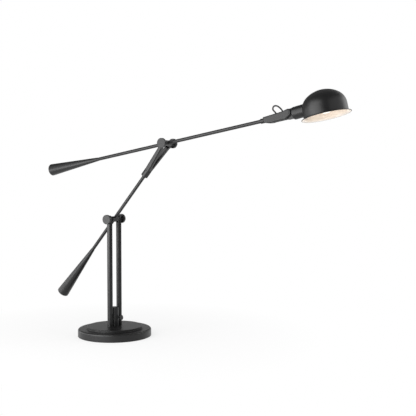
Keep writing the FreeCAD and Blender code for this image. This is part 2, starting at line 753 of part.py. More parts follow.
def head_fork():
    """A rounded block on the rod's end, slotted from the front into two cheeks with round ears."""
    belly_end = FORK_START + FORK_BELLY_LENGTH
    flat_end = FORK_START + FORK_FLAT_LENGTH
    belly_depth = FORK_END_BOTTOM + FORK_BELLY_FULLNESS * (FORK_BOTTOM - FORK_END_BOTTOM)
    belly_middle = (FORK_START + FORK_BELLY_REACH * FORK_BELLY_LENGTH, -belly_depth)
    pin_place = (UPPER_ARM_LENGTH, PIN_RISE)
    ear_under = on_arc(pin_place, EAR_RADIUS, EAR_UNDER_TURN)
    ear_top = on_arc(pin_place, EAR_RADIUS, EAR_TOP_TURN)
    body = side_plate(
        (FORK_START, -FORK_END_BOTTOM),
        [
            (belly_middle, (belly_end, -FORK_BOTTOM)),
            (flat_end, -FORK_BOTTOM),
            ear_under,
            ((UPPER_ARM_LENGTH + EAR_RADIUS, PIN_RISE), ear_top),
            (FORK_SLOT_START + FORK_BELLY_LENGTH, FORK_TOP),
            (FORK_START, FORK_END_TOP),
            (FORK_START, -FORK_END_BOTTOM),
        ],
        FORK_HALF_WIDTH,
    )
    long_edges = [edge for edge in body.Edges if abs(abs(edge.CenterOfMass.y) - FORK_HALF_WIDTH) < PICK_WITHIN]
    body = body.makeFillet(FORK_ROUNDING, long_edges)
    slot_low = (FORK_SLOT_START, -FORK_SLOT_HALF, -2 * FORK_BOTTOM)
    slot_high = (UPPER_ARM_LENGTH + 2 * EAR_RADIUS, FORK_SLOT_HALF, 2 * FORK_TOP)
    body = body.cut(block(slot_low, slot_high))
    bore_radius = ROD_RADIUS + RUNNING_CLEARANCE
    body = body.cut(along(FORK_START - CUT_PAST, FORK_SLOT_START + CUT_PAST, bore_radius))
    pin_reach = FORK_HALF_WIDTH + CUT_PAST
    body = body.cut(across(-pin_reach, pin_reach, PIN_RADIUS, UPPER_ARM_LENGTH, PIN_RISE))
    return body.cut(fork_screw_bar(0))


def fork_screw_bar(tip_gap):
    station = FORK_START + GROOVE_STATION
    top = ROD_RADIUS - GROOVE_DEPTH + tip_gap
    return Part.makeCylinder(FORK_SCREW_RADIUS, FORK_BOTTOM, Vector(station, 0, -top), -Z_AXIS)


def fork_screw():
    """The grub screw whose tip runs in the rod's groove, so that the fork can only swivel."""
    lowest = -(FORK_END_BOTTOM + FORK_BOTTOM) / 2
    bar = fork_screw_bar(FORK_SCREW_TIP_GAP)
    return bar.common(block((FORK_START, -ROD_RADIUS, lowest), (FORK_SLOT_START, ROD_RADIUS, 0)))


def head_pin():
    shank = across(-FORK_HALF_WIDTH, FORK_HALF_WIDTH + PIN_NUT, PIN_RADIUS, UPPER_ARM_LENGTH, PIN_RISE)
    head = across(-FORK_HALF_WIDTH - PIN_HEAD, -FORK_HALF_WIDTH, PIN_HEAD_RADIUS, UPPER_ARM_LENGTH, PIN_RISE)
    half_way = -FORK_HALF_WIDTH - PIN_HEAD / 2
    rims = [edge for edge in head.Edges if edge.Closed and edge.CenterOfMass.y < half_way]
    head = head.makeFillet(PIN_HEAD / 2, rims)
    return shank.fuse(head).removeSplitter()


def pin_nut():
    place = Vector(UPPER_ARM_LENGTH, FORK_HALF_WIDTH, PIN_RISE)
    nut = hexagon(PIN_NUT_FLATS, PIN_NUT, place, Y_AXIS)
    return nut.cut(across(0, FORK_HALF_WIDTH + 2 * PIN_NUT, PIN_RADIUS, UPPER_ARM_LENGTH, PIN_RISE))


# ---------------------------------------------------------------- head
def knuckle():
    """The tongue between the cheeks, with the cord's hole along its lower half."""
    corner = (-KNUCKLE_BACK + KNUCKLE_CORNER_RADIUS, -KNUCKLE_DROP + KNUCKLE_CORNER_RADIUS)
    tongue = side_plate(
        (0, KNUCKLE_EYE_RADIUS),
        [
            (on_arc((0, 0), KNUCKLE_EYE_RADIUS, 135), (-KNUCKLE_EYE_RADIUS, 0)),
            (-KNUCKLE_BACK, corner[1]),
            (on_arc(corner, KNUCKLE_CORNER_RADIUS, 225), (corner[0], -KNUCKLE_DROP)),
            (CUP_START, -CUP_DROP - CUP_RADIUS + CUP_BACK_ROUNDING),
            (CUP_START, KNUCKLE_EYE_RADIUS),
            (0, KNUCKLE_EYE_RADIUS),
        ],
        KNUCKLE_HALF,
    )
    tongue = tongue.cut(across(-2 * KNUCKLE_HALF, 2 * KNUCKLE_HALF, PIN_RADIUS + RUNNING_CLEARANCE))
    return tongue.cut(head_cord_hole(CORD_HOLE_RADIUS))


def head_cord_hole(radius):
    """The cord's way along the head, from behind the knuckle to the holder."""
    return along(-2 * KNUCKLE_BACK, HOLDER_START, radius, 0, -HEAD_CORD_HOLE_DROP)


def knuckle_washers():
    ring = across(KNUCKLE_HALF, KNUCKLE_HALF + KNUCKLE_WASHER, KNUCKLE_WASHER_RADIUS)
    ring = ring.cut(across(0, 2 * KNUCKLE_HALF, PIN_RADIUS + 2 * RUNNING_CLEARANCE))
    return Part.makeCompound([mirrored(ring), ring])


def shade_profile(inset):
    """The shade's form turned about its own axis and filled, drawn in by an inset.

    A flared rim leads to a straight wall, and the crown is a tight shoulder arc and a wide top arc.
    """
    radius = SHADE_RADIUS - inset
    crown_height = SHADE_HEIGHT - SHADE_WALL_HEIGHT
    shoulder_place = SHADE_RADIUS - SHADE_SHOULDER
    crown_square = shoulder_place**2 + crown_height**2 - SHADE_SHOULDER**2
    crown_radius = crown_square / (2 * (crown_height - SHADE_SHOULDER))
    crown_place = SHADE_HEIGHT - crown_radius
    meeting = math.atan2(SHADE_WALL_HEIGHT - crown_place, shoulder_place)
    shoulder_arc = SHADE_SHOULDER - inset
    crown_arc = crown_radius - inset
    shoulder_centre = (shoulder_place, SHADE_WALL_HEIGHT)
    shoulder_end = on_arc(shoulder_centre, shoulder_arc, math.degrees(meeting))
    shoulder_middle = on_arc(shoulder_centre, shoulder_arc, math.degrees(meeting / 2))
    crown_middle = on_arc((0, crown_place), crown_arc, math.degrees((meeting + math.pi / 2) / 2))
    flare = SHADE_RIM_RADIUS - SHADE_RADIUS
    flare_middle = (radius + SHADE_FLARE_REACH * flare, SHADE_FLARE_RISE * SHADE_RIM_HEIGHT)
    solid = turned_about_z(
        (0, 0),
        [
            (SHADE_RIM_RADIUS - inset, 0),
            (flare_middle, (radius, SHADE_RIM_HEIGHT)),
            (radius, SHADE_WALL_HEIGHT),
            (shoulder_middle, shoulder_end),
            (crown_middle, (0, SHADE_HEIGHT - inset)),
            (0, 0),
        ],
    )
    solid.translate(Vector(SHADE_AHEAD, 0, -SHADE_DROP))
    return solid


def holder_hole():
    return along(0, SHADE_AHEAD, HOLDER_RADIUS + HOLDER_CLEARANCE / 2, 0, -CUP_DROP)


def shade_shell():
    shell = shade_profile(0).cut(shade_profile(SHADE_SHEET))
    return shell.cut(holder_hole())


def shade_liner():
    liner = shade_profile(SHADE_SHEET).cut(shade_profile(SHADE_SHEET + LINER_SHEET))
    return liner.cut(holder_hole())


def socket_cup():
    """A round cup behind the shade, cut at its front to the shade's own curve."""
    cup = along(CUP_START, SHADE_AHEAD - SHADE_RADIUS / 2, CUP_RADIUS, 0, -CUP_DROP)
    back_rim = [edge for edge in cup.Edges if edge.Closed and abs(edge.CenterOfMass.x - CUP_START) < PICK_WITHIN]
    cup = cup.makeFillet(CUP_BACK_ROUNDING, back_rim)
    hollow = along(CUP_START + CUP_BACK_WALL, SHADE_AHEAD, CUP_RADIUS - CUP_SHEET, 0, -CUP_DROP)
    cup = cup.cut(hollow).cut(shade_profile(0))
    return cup.cut(head_cord_hole(CORD_HOLE_RADIUS))


def lamp_holder():
    """The holder's moulded barrel on a foot that stands on the cup's back wall."""
    barrel = along(HOLDER_START, HOLDER_END, HOLDER_RADIUS, 0, -CUP_DROP)
    foot = along(CUP_START + CUP_BACK_WALL, HOLDER_START, HOLDER_BORE_RADIUS, 0, -CUP_DROP + CORD_RADIUS)
    holder = barrel.fuse(foot).removeSplitter()
    well_floor = HOLDER_START + HOLDER_FLOOR
    holder = holder.cut(along(well_floor, HOLDER_END + CUT_PAST, SHELL_RADIUS, 0, -CUP_DROP))
    return holder.cut(head_cord_hole(CORD_WAY_RADIUS))


def holder_shell():
    """The brass screw shell in the holder."""
    start = HOLDER_START + HOLDER_FLOOR
    shell = along(start, HOLDER_END - 2 * SHELL_WALL, SHELL_RADIUS, 0, -CUP_DROP)
    return shell.cut(along(start + SHELL_WALL, HOLDER_END, SHELL_RADIUS - SHELL_WALL, 0, -CUP_DROP))


def holder_contact():
    start = HOLDER_START + HOLDER_FLOOR + SHELL_WALL
    return along(start, start + CONTACT_THICKNESS, CONTACT_RADIUS, 0, -CUP_DROP)


def holder_ring():
    """The threaded ring that clamps the shade between itself and the cup."""
    wall = SHADE_AHEAD - SHADE_RADIUS
    ring = along(wall, wall + RING_FRONT, RING_RADIUS, 0, -CUP_DROP)
    ring = ring.common(shade_profile(SHADE_SHEET + LINER_SHEET))
    return ring.cut(along(0, SHADE_AHEAD, HOLDER_RADIUS, 0, -CUP_DROP))


def bulb_cap():
    """The bulb's screw base, seated on the contact."""
    start = HOLDER_START + HOLDER_FLOOR + SHELL_WALL + CONTACT_THICKNESS
    return along(start, CAP_END, CAP_RADIUS, 0, -CUP_DROP)


def bulb_form(inset):
    """A globe with a short neck, filled, drawn in by an inset but not at its neck's end."""
    radius = BULB_RADIUS - inset
    shoulder_turn = math.radians(BULB_SHOULDER_TURN)
    join = (BULB_AHEAD - radius * math.cos(shoulder_turn), radius * math.sin(shoulder_turn))
    neck = (CAP_END, BULB_NECK_RADIUS - inset)
    sweep_middle = (BULB_NECK_MIDDLE, BULB_NECK_RADIUS + BULB_NECK_SWELL - inset)
    form = turned_about_x(
        (CAP_END, 0),
        [
            neck,
            (sweep_middle, join),
            ((BULB_AHEAD, radius), (BULB_AHEAD + radius, 0)),
            (CAP_END, 0),
        ],
    )
    form.translate(Vector(0, 0, -CUP_DROP))
    return form


def bulb_glass():
    """The frosted globe, a thin shell that is open at its neck."""
    return bulb_form(0).cut(bulb_form(BULB_GLASS))


def head_cord():
    points = [Vector(FORK_START + ahead, 0, above) for ahead, above in HEAD_CORD_ROUTE]
    return tube_along(points, CORD_RADIUS, "head cord")


# ---------------------------------------------------------------- every piece, in its frame
os.makedirs("parts", exist_ok=True)

save("base_cover", base_cover())
save("base_step", base_step())
save("base_weight", base_weight())
save("felt_pad", felt_pad())
save("cord_bushing", cord_bushing())
save("post_nipples", post_nipples())
save("post_washers", post_washers())
save("post_nuts", post_nuts())
save("front_post", post(-POST_OFFSET))
save("back_post", post(POST_OFFSET))
save("post_lead", post_lead())
save("switch_can", switch_can())
save("switch_block", switch_block())
save("switch_bush", switch_bush())
save("switch_key", switch_key())
save("can_screw", can_screw())

axle_frame = Placement(Vector(0, 0, AXLE_HEIGHT), Rotation())
save("lower_outer_washers", washer_pair(POST_OUTER_FACE), axle_frame)
lower_knob = knob(POST_OUTER_FACE, LOWER_AXLE_HALF_SPAN)
save("lower_front_knob", mirrored(lower_knob), axle_frame)
save("lower_back_knob", lower_knob, axle_frame)

save("lower_hub", hub(), lower_arm_frame)
save("lower_inner_washers", washer_pair(HUB_HALF), lower_arm_frame)
save("lower_rod", lower_rod(), lower_arm_frame)
save("lower_lead", lower_lead(), lower_arm_frame)
save("lower_counterweight", counterweight(LOWER_WEIGHT_START), lower_arm_frame)
save("lower_weight_screw", weight_screw(LOWER_WEIGHT_START), lower_arm_frame)
save("yoke_ferrule", yoke_ferrule(), lower_arm_frame)
save("yoke", yoke(), lower_arm_frame)
elbow_frame = lower_arm_frame.multiply(Placement(Vector(LOWER_ARM_LENGTH, 0, 0), Rotation()))
save("elbow_outer_washers", washer_pair(TINE_OUTER_FACE), elbow_frame)

save("elbow_hub", hub(), upper_arm_frame)
save("elbow_inner_washers", washer_pair(HUB_HALF), upper_arm_frame)
elbow_knob = knob(TINE_OUTER_FACE, ELBOW_HALF_SPAN)
save("elbow_front_knob", mirrored(elbow_knob), upper_arm_frame)
save("elbow_back_knob", elbow_knob, upper_arm_frame)
save("upper_rod", upper_rod(), upper_arm_frame)
save("upper_lead", upper_lead(), upper_arm_frame)
save("upper_counterweight", counterweight(UPPER_WEIGHT_START), upper_arm_frame)
save("upper_weight_screw", weight_screw(UPPER_WEIGHT_START), upper_arm_frame)
save("swivel_collar", swivel_collar(), upper_arm_frame)

save("head_fork", head_fork(), upper_arm_frame)
save("fork_screw", fork_screw(), upper_arm_frame)
save("head_pin", head_pin(), upper_arm_frame)
save("pin_nut", pin_nut(), upper_arm_frame)
save("head_cord", head_cord(), upper_arm_frame)

save("knuckle", knuckle(), head_frame)
save("knuckle_washers", knuckle_washers(), head_frame)
save("socket_cup", socket_cup(), head_frame)
save("lamp_holder", lamp_holder(), head_frame)
save("holder_shell", holder_shell(), head_frame)
save("holder_contact", holder_contact(), head_frame)
save("holder_ring", holder_ring(), head_frame)
save("shade_shell", shade_shell(), head_frame)
save("shade_liner", shade_liner(), head_frame)
save("bulb_cap", bulb_cap(), head_frame)
save("bulb_glass", bulb_glass(), head_frame)

for label, frame in [("lower axle", axle_frame), ("elbow", upper_arm_frame), ("head pin", head_frame)]:
    print(label, [round(v, 3) for v in frame.Base])
print("arm direction", [round(v, 6) for v in upper_arm_frame.Rotation.multVec(X_AXIS)])
print("pin direction", [round(v, 6) for v in upper_arm_frame.Rotation.multVec(Y_AXIS)])
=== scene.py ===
"""The looks of the counterweight balance desk lamp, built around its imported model.

Metres. +Z is up, +X runs from the posts to the shade, and Y runs along the axles.
"""

import json
import math

import bpy
from mathutils import Matrix, Vector


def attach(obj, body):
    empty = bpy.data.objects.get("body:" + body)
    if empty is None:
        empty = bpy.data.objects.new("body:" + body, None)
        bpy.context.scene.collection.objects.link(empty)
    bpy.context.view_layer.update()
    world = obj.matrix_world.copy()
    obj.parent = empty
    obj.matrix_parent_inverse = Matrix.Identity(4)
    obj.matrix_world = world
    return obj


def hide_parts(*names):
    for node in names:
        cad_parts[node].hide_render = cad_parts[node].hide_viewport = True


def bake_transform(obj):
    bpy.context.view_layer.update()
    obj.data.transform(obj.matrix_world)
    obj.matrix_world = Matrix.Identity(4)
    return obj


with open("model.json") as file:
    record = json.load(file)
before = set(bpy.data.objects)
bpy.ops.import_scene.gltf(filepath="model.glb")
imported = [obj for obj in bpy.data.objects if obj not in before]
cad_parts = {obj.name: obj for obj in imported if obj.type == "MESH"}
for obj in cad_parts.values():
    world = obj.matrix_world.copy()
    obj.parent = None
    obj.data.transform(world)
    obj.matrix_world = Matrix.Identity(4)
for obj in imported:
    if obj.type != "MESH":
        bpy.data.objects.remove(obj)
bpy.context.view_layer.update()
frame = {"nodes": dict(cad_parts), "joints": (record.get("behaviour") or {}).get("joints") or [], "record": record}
nodes = frame["nodes"]
joints = {joint["name"]: joint for joint in frame["joints"]}
MM = 0.001

# ---------------------------------------------------------------- camera
CAMERA_PLACE = Vector((1.4282, -1.8598, 0.4712))
CAMERA_AZIMUTH = 30.93
CAMERA_PITCH = 2.53
CAMERA_LENS = 70.37
CAMERA_SENSOR = 36.0
CAMERA_SIGHT = 50.0

camera_data = bpy.data.cameras.new("camera")
camera_data.lens = CAMERA_LENS
camera_data.sensor_width = CAMERA_SENSOR
camera_data.clip_end = CAMERA_SIGHT
camera = bpy.data.objects.new("camera", camera_data)
camera.location = CAMERA_PLACE
camera.rotation_euler = (math.radians(90 - CAMERA_PITCH), 0, math.radians(CAMERA_AZIMUTH))
bpy.context.scene.collection.objects.link(camera)
bpy.context.scene.camera = camera

# ---------------------------------------------------------------- places of the fork and the head pin
fork_back = Vector(joints["head_swivel"]["pos_m"])
pin = Vector(joints["head_tilt"]["pos_m"])
arm_way = Vector(joints["head_swivel"]["axis"]).normalized()
pin_way = Vector(joints["head_tilt"]["axis"]).normalized()


def placed(origin, x_way, y_way):
    """The matrix that puts a piece drawn at the origin in its place."""
    z_way = x_way.cross(y_way)
    turn = Matrix((x_way, y_way, z_way)).transposed().to_4x4()
    return Matrix.Translation(origin) @ turn


fork_place = placed(fork_back, arm_way, pin_way)

# ---------------------------------------------------------------- the head's cord
CORD_RADIUS = 2.0 * MM
CORD_STEPS = 10
CORD_ROUNDNESS = 5
# Along the fork from its back, and above the upper arm, in the fork's middle plane, in millimetres
CORD_ROUTE = [
    (3.0, 0.0),
    (26.0, 0.0),
    (34.0, 1.5),
    (36.5, 8.0),
    (32.5, 15.0),
    (26.5, 23.0),
    (31.0, 31.5),
    (42.0, 29.5),
    (53.0, 16.0),
    (55.5, 3.5),
    (59.5, -3.6),
    (69.0, -3.6),
    (85.0, -2.7),
]


def cord_curve(name, radius):
    """A smooth curve with the route's points as its control points, round if it has a radius."""
    curve = bpy.data.curves.new(name, "CURVE")
    curve.dimensions = "3D"
    curve.resolution_u = CORD_STEPS
    curve.bevel_depth = radius
    curve.bevel_resolution = CORD_ROUNDNESS
    curve.use_fill_caps = True
    spline = curve.splines.new("NURBS")
    spline.points.add(len(CORD_ROUTE) - 1)
    for point, (along, above) in zip(spline.points, CORD_ROUTE):
        point.co = (*(fork_place @ Vector((along * MM, 0, above * MM))), 1)
    spline.order_u = 3
    spline.use_endpoint_u = True
    curve_object = bpy.data.objects.new(name, curve)
    bpy.context.scene.collection.objects.link(curve_object)
    return curve_object


def read_line(curve_object):
    """The points that a curve with no bevel follows."""
    line = bpy.data.meshes.new_from_object(curve_object)
    points = [vertex.co.copy() for vertex in line.vertices]
    bpy.data.meshes.remove(line)
    bpy.data.objects.remove(curve_object)
    return points


def cord_tube(name, radius):
    """The cord's round body, as a mesh with its ends closed."""
    curve_object = cord_curve(name + "_curve", radius)
    mesh = bpy.data.meshes.new_from_object(curve_object)
    bpy.data.objects.remove(curve_object)
    tube = bpy.data.objects.new(name, mesh)
    bpy.context.scene.collection.objects.link(tube)
    for polygon in mesh.polygons:
        polygon.use_smooth = True
    return tube


cord_line = read_line(cord_curve("cord_line", 0))
head_flex = cord_tube("head_flex", CORD_RADIUS)


# ---------------------------------------------------------------- materials
# Octaves and mix of the fine grain, and octaves, spread and size in grains of the drift of tone
GRAIN_DETAIL = 3.0
GRAIN_MIX = 0.55
TONE_DETAIL = 2.0
TONE_LOW = 0.35
TONE_HIGH = 0.65
TONE_GRAINS = 20
BULB_GLOW = 0.5


def colour(code):
    """An sRGB hex colour as the linear values that the shader takes."""
    channels = [int(code[i : i + 2], 16) / 255 for i in (1, 3, 5)]
    linear = [c / 12.92 if c <= 0.04045 else ((c + 0.055) / 1.055) ** 2.4 for c in channels]
    return (*linear, 1)


def add_node(tree, kind, settings=None, links=None):
    """A node with its settings, and its inputs linked from other nodes' outputs."""
    node = tree.nodes.new(kind)
    for name, value in (settings or {}).items():
        if isinstance(name, int) or name in node.inputs:
            node.inputs[name].default_value = value
        else:
            setattr(node, name, value)
    for name, source in (links or {}).items():
        tree.links.new(source, node.inputs[name])
    return node


def new_material(name):
    """A new material, its nodes and its main shader."""
    material = bpy.data.materials.new(name)
    material.use_nodes = True
    tree = material.node_tree
    return material, tree, tree.nodes["Principled BSDF"]


def grain(tree, shader, size_mm, depth_mm, roughness_low, roughness_high):
    """A fine even grain of the given size: a bump, and a roughness that varies with it."""
    place = add_node(tree, "ShaderNodeTexCoord")
    noise = add_node(
        tree,
        "ShaderNodeTexNoise",
        {"Scale": 1 / (size_mm * MM), "Detail": GRAIN_DETAIL, "Roughness": GRAIN_MIX},
        {"Vector": place.outputs["Object"]},
    )
    bump = add_node(
        tree,
        "ShaderNodeBump",
        {"Strength": 1.0, "Distance": depth_mm * MM},
        {"Height": noise.outputs["Fac"]},
    )
    tree.links.new(bump.outputs["Normal"], shader.inputs["Normal"])
    spread = add_node(
        tree,
        "ShaderNodeMapRange",
        {"To Min": roughness_low, "To Max": roughness_high},
        {"Value": noise.outputs["Fac"]},
    )
    tree.links.new(spread.outputs["Result"], shader.inputs["Roughness"])
    return place


def two_tones(tree, shader, place, size_mm, first, second):
    """A slow drift between two near colours over the surface."""
    noise = add_node(
        tree,
        "ShaderNodeTexNoise",
        {"Scale": 1 / (size_mm * MM), "Detail": TONE_DETAIL},
        {"Vector": place.outputs["Object"]},
    )
    ramp = add_node(tree, "ShaderNodeValToRGB", {}, {"Fac": noise.outputs["Fac"]})
    low_end, high_end = ramp.color_ramp.elements
    low_end.position = TONE_LOW
    low_end.color = colour(first)
    high_end.position = TONE_HIGH
    high_end.color = colour(second)
    tree.links.new(ramp.outputs["Color"], shader.inputs["Base Color"])


def black_powder_coat():
    """Polyester powder coat, sprayed on steel and baked.

    A near black satin: broad soft highlights, and an orange peel too faint to see from afar.
    """
    material, tree, shader = new_material("black_powder_coat")
    shader.inputs["IOR"].default_value = 1.45
    place = grain(tree, shader, 1.5, 0.002, 0.35, 0.41)
    two_tones(tree, shader, place, 60, "#101011", "#131314")
    return material


def white_enamel():
    """Baked enamel, sprayed on the inside of the spun shade.

    A warm white that fills the shade with light: even, and slightly glossy.
    """
    material, tree, shader = new_material("white_enamel")
    shader.inputs["IOR"].default_value = 1.5
    place = grain(tree, shader, 1.2, 0.01, 0.3, 0.38)
    two_tones(tree, shader, place, 40, "#faeee1", "#fcf3e9")
    return material


def cord_rubber():
    """Soft PVC, extruded over the cord's cores.

    A black that is duller than the paint round it, with next to no highlight.
    """
    material, tree, shader = new_material("cord_rubber")
    shader.inputs["IOR"].default_value = 1.53
    place = grain(tree, shader, 0.5, 0.01, 0.55, 0.68)
    two_tones(tree, shader, place, 12, "#0b0b0c", "#101011")
    return material


def plain_finish(name, tones, grain_mm, depth_mm, roughness, metallic=0.0, ior=1.5):
    """A finish of two near tones and one grain, for pieces that are mostly out of sight."""
    material, tree, shader = new_material(name)
    shader.inputs["Metallic"].default_value = metallic
    shader.inputs["IOR"].default_value = ior
    place = grain(tree, shader, grain_mm, depth_mm, *roughness)
    two_tones(tree, shader, place, TONE_GRAINS * grain_mm, *tones)
    return material


def opal_glass():
    """Bulb glass, blown and frosted inside with acid.

    An even milky white with a soft shine, and a faint warm glow of its own.
    """
    material, tree, shader = new_material("opal_glass")
    shader.inputs["IOR"].default_value = 1.52
    shader.inputs["Emission Color"].default_value = colour("#fff5ea")
    shader.inputs["Emission Strength"].default_value = BULB_GLOW
    place = grain(tree, shader, 0.8, 0.004, 0.3, 0.4)
    two_tones(tree, shader, place, 15, "#f5f0e6", "#faf6ee")
    return material


finishes = {
    "black_paint": black_powder_coat(),
    "white_enamel": white_enamel(),
    "cord_sheath": cord_rubber(),
    "frosted_glass": opal_glass(),
    # Grey cast iron, left as it came from its sand mould: dark, rough and dull
    "cast_iron": plain_finish("cast_iron", ("#3f3f40", "#4a4a4b"), 1.5, 0.08, (0.6, 0.8), metallic=1.0),
    # Turned steel with bright zinc plating: pale grey and clean, with a slightly soft shine
    "zinc_steel": plain_finish(
        "zinc_plated_steel", ("#b9bbbd", "#c6c8c9"), 0.3, 0.004, (0.25, 0.36), metallic=1.0
    ),
    # Pressed wool felt: black, matt and fibrous
    "black_felt": plain_finish("black_felt", ("#1a1a1a", "#242424"), 0.5, 0.2, (0.95, 1.0)),
    # Moulded rubber of the cord's bushing: black with a dull skin
    "black_rubber": plain_finish("black_rubber", ("#1c1c1d", "#232324"), 0.6, 0.01, (0.5, 0.62), ior=1.52),
    # Moulded nylon of the axle washers: black and smooth with a waxy shine
    "black_nylon": plain_finish("black_nylon", ("#1f1f20", "#252526"), 0.4, 0.005, (0.35, 0.45), ior=1.53),
    # Pressed phenolic resin of the switch's body: brown black with a hard shine
    "switch_moulding": plain_finish(
        "switch_phenolic", ("#241d19", "#2b231e"), 0.5, 0.006, (0.3, 0.42), ior=1.6
    ),
    # Pressed and glazed porcelain of the lamp holder: cream white and glassy
    "holder_ceramic": plain_finish("glazed_porcelain", ("#efece3", "#f5f2ea"), 1.5, 0.01, (0.12, 0.2)),
    # Rolled brass of the holder's shell and the bulb's base: yellow, with a drawn metal shine
    "lamp_brass": plain_finish("lamp_brass", ("#c9a761", "#d6b56f"), 0.4, 0.005, (0.25, 0.4), metallic=1.0),
}

node_slots = {part["node"]: part["material_slot"] for part in frame["record"]["subparts"]}
for name, node in nodes.items():
    node.data.materials.clear()
    node.data.materials.append(finishes[node_slots[name]])

# ---------------------------------------------------------------- the cord, dressed
head_flex.data.materials.append(finishes["cord_sheath"])
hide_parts("head_cord")
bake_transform(head_flex)

# ---------------------------------------------------------------- the shade, spun from sheet
# Degrees that the head points above the upper arm's line, then the shade's place from the head pin
HEAD_RISE = 3.2
SHADE_AHEAD = 95.0
SHADE_DROP = 35.1
# The shade's own sizes in millimetres, up from its rim
SHADE_RADIUS = 55.8
SHADE_RIM_RADIUS = 62.4
SHADE_RIM_HEIGHT = 4.2
SHADE_WALL_HEIGHT = 22.9
SHADE_HEIGHT = 66.7
SHADE_SHOULDER = 38.0
SHADE_SHEET = 0.5
ENAMEL_THICKNESS = 0.15
ENAMEL_GAP = 0.02
BEAD_RADIUS = 0.85
HOLDER_HOLE = 12.8
HOLDER_DROP = 5.6
POLE_RADIUS = 0.02
# How finely the shade is drawn
SHADE_SIDES = 96
FLARE_STEP = 15
ARC_STEPS = 9
HOLE_SIDES = 64
BEAD_SIDES = 16
SMOOTH_ANGLE = 40

head_way = Matrix.Rotation(math.radians(-HEAD_RISE), 3, pin_way) @ arm_way
head_place = placed(pin, head_way, pin_way)
shade_place = head_place @ Matrix.Translation((SHADE_AHEAD * MM, 0, -SHADE_DROP * MM))


def shade_outline(inset):
    """Radii and heights up the shade's wall, drawn in by an inset.

    The flare at the rim comes first, then the wall, the shoulder's arc and the crown's arc.
    """
    flare = SHADE_RIM_RADIUS - BEAD_RADIUS - SHADE_RADIUS
    flare_height = SHADE_RIM_HEIGHT - BEAD_RADIUS
    flare_turns = [math.radians(angle) for angle in range(0, 91, FLARE_STEP)]
    points = [
        (
            SHADE_RIM_RADIUS - BEAD_RADIUS - (flare + inset) * math.sin(turn),
            SHADE_RIM_HEIGHT - (flare_height + inset) * math.cos(turn),
        )
        for turn in flare_turns
    ]
    points.append((SHADE_RADIUS - inset, (SHADE_RIM_HEIGHT + SHADE_WALL_HEIGHT) / 2))
    crown_height = SHADE_HEIGHT - SHADE_WALL_HEIGHT
    shoulder_place = SHADE_RADIUS - SHADE_SHOULDER
    crown_square = shoulder_place**2 + crown_height**2 - SHADE_SHOULDER**2
    crown_radius = crown_square / (2 * (crown_height - SHADE_SHOULDER))
    crown_place = SHADE_HEIGHT - crown_radius
    meeting = math.atan2(SHADE_WALL_HEIGHT - crown_place, shoulder_place)
    shoulder_arc = SHADE_SHOULDER - inset
    for step in range(ARC_STEPS):
        turn = meeting * step / ARC_STEPS
        radius = shoulder_place + shoulder_arc * math.cos(turn)
        points.append((radius, SHADE_WALL_HEIGHT + shoulder_arc * math.sin(turn)))
    crown_arc = crown_radius - inset
    for step in range(ARC_STEPS):
        turn = meeting + (math.pi / 2 - meeting) * step / ARC_STEPS
        points.append((crown_arc * math.cos(turn), crown_place + crown_arc * math.sin(turn)))
    points.append((POLE_RADIUS, SHADE_HEIGHT - inset))
    return points


def settle(piece, place):
    """Puts a piece drawn round the origin in its place, and leaves its object at the origin."""
    bpy.ops.object.select_all(action="DESELECT")
    piece.select_set(True)
    bpy.context.view_layer.objects.active = piece
    piece.matrix_world = place @ piece.matrix_world
    bpy.ops.object.transform_apply(location=True, rotation=True, scale=True)


def add_modifier(piece, kind, settings):
    """Gives the piece a modifier with its settings, and applies it."""
    modifier = piece.modifiers.new(kind.lower(), kind)
    for name, value in settings.items():
        setattr(modifier, name, value)
    bpy.context.view_layer.objects.active = piece
    bpy.ops.object.modifier_apply(modifier=modifier.name)


def spun_skin(name, inset, thickness):
    """Sheet spun over a form: rings drawn up from the rim to the crown, then given its thickness."""
    bpy.ops.object.select_all(action="DESELECT")
    (radius, height), *others = shade_outline(inset)
    bpy.ops.mesh.primitive_circle_add(
        vertices=SHADE_SIDES, radius=radius * MM, location=(0, 0, height * MM)
    )
    skin = bpy.context.object
    skin.name = name
    bpy.ops.object.transform_apply(location=True, rotation=True, scale=True)
    bpy.ops.object.mode_set(mode="EDIT")
    bpy.ops.mesh.select_all(action="SELECT")
    for next_radius, next_height in others:
        lift = (0, 0, (next_height - height) * MM)
        bpy.ops.mesh.extrude_edges_move(TRANSFORM_OT_translate={"value": lift})
        share = next_radius / radius
        bpy.ops.transform.resize(value=(share, share, 1), center_override=(0, 0, 0))
        radius, height = next_radius, next_height
    bpy.ops.mesh.merge(type="CENTER")
    bpy.ops.mesh.select_all(action="SELECT")
    bpy.ops.mesh.normals_make_consistent(inside=False)
    bpy.ops.object.mode_set(mode="OBJECT")
    add_modifier(skin, "SUBSURF", {"levels": 1, "render_levels": 1})
    add_modifier(skin, "SOLIDIFY", {"thickness": thickness * MM, "offset": -1.0})
    return skin


def cut_holder_hole(skin):
    """The round hole at the shade's back, through which the lamp holder passes."""
    bpy.ops.object.select_all(action="DESELECT")
    bpy.ops.mesh.primitive_cylinder_add(
        vertices=HOLE_SIDES,
        radius=HOLDER_HOLE * MM,
        depth=SHADE_RADIUS * MM,
        location=(-SHADE_RADIUS * MM, 0, (SHADE_DROP - HOLDER_DROP) * MM),
        rotation=(0, math.radians(90), 0),
    )
    drill = bpy.context.object
    add_modifier(skin, "BOOLEAN", {"object": drill, "operation": "DIFFERENCE", "solver": "EXACT"})
    bpy.data.objects.remove(drill)


def shade_bead():
    """The rim's edge rolled over a wire."""
    bpy.ops.object.select_all(action="DESELECT")
    bpy.ops.mesh.primitive_torus_add(
        major_segments=2 * SHADE_SIDES,
        minor_segments=BEAD_SIDES,
        major_radius=(SHADE_RIM_RADIUS - BEAD_RADIUS) * MM,
        minor_radius=BEAD_RADIUS * MM,
        location=(0, 0, BEAD_RADIUS * MM),
    )
    return bpy.context.object


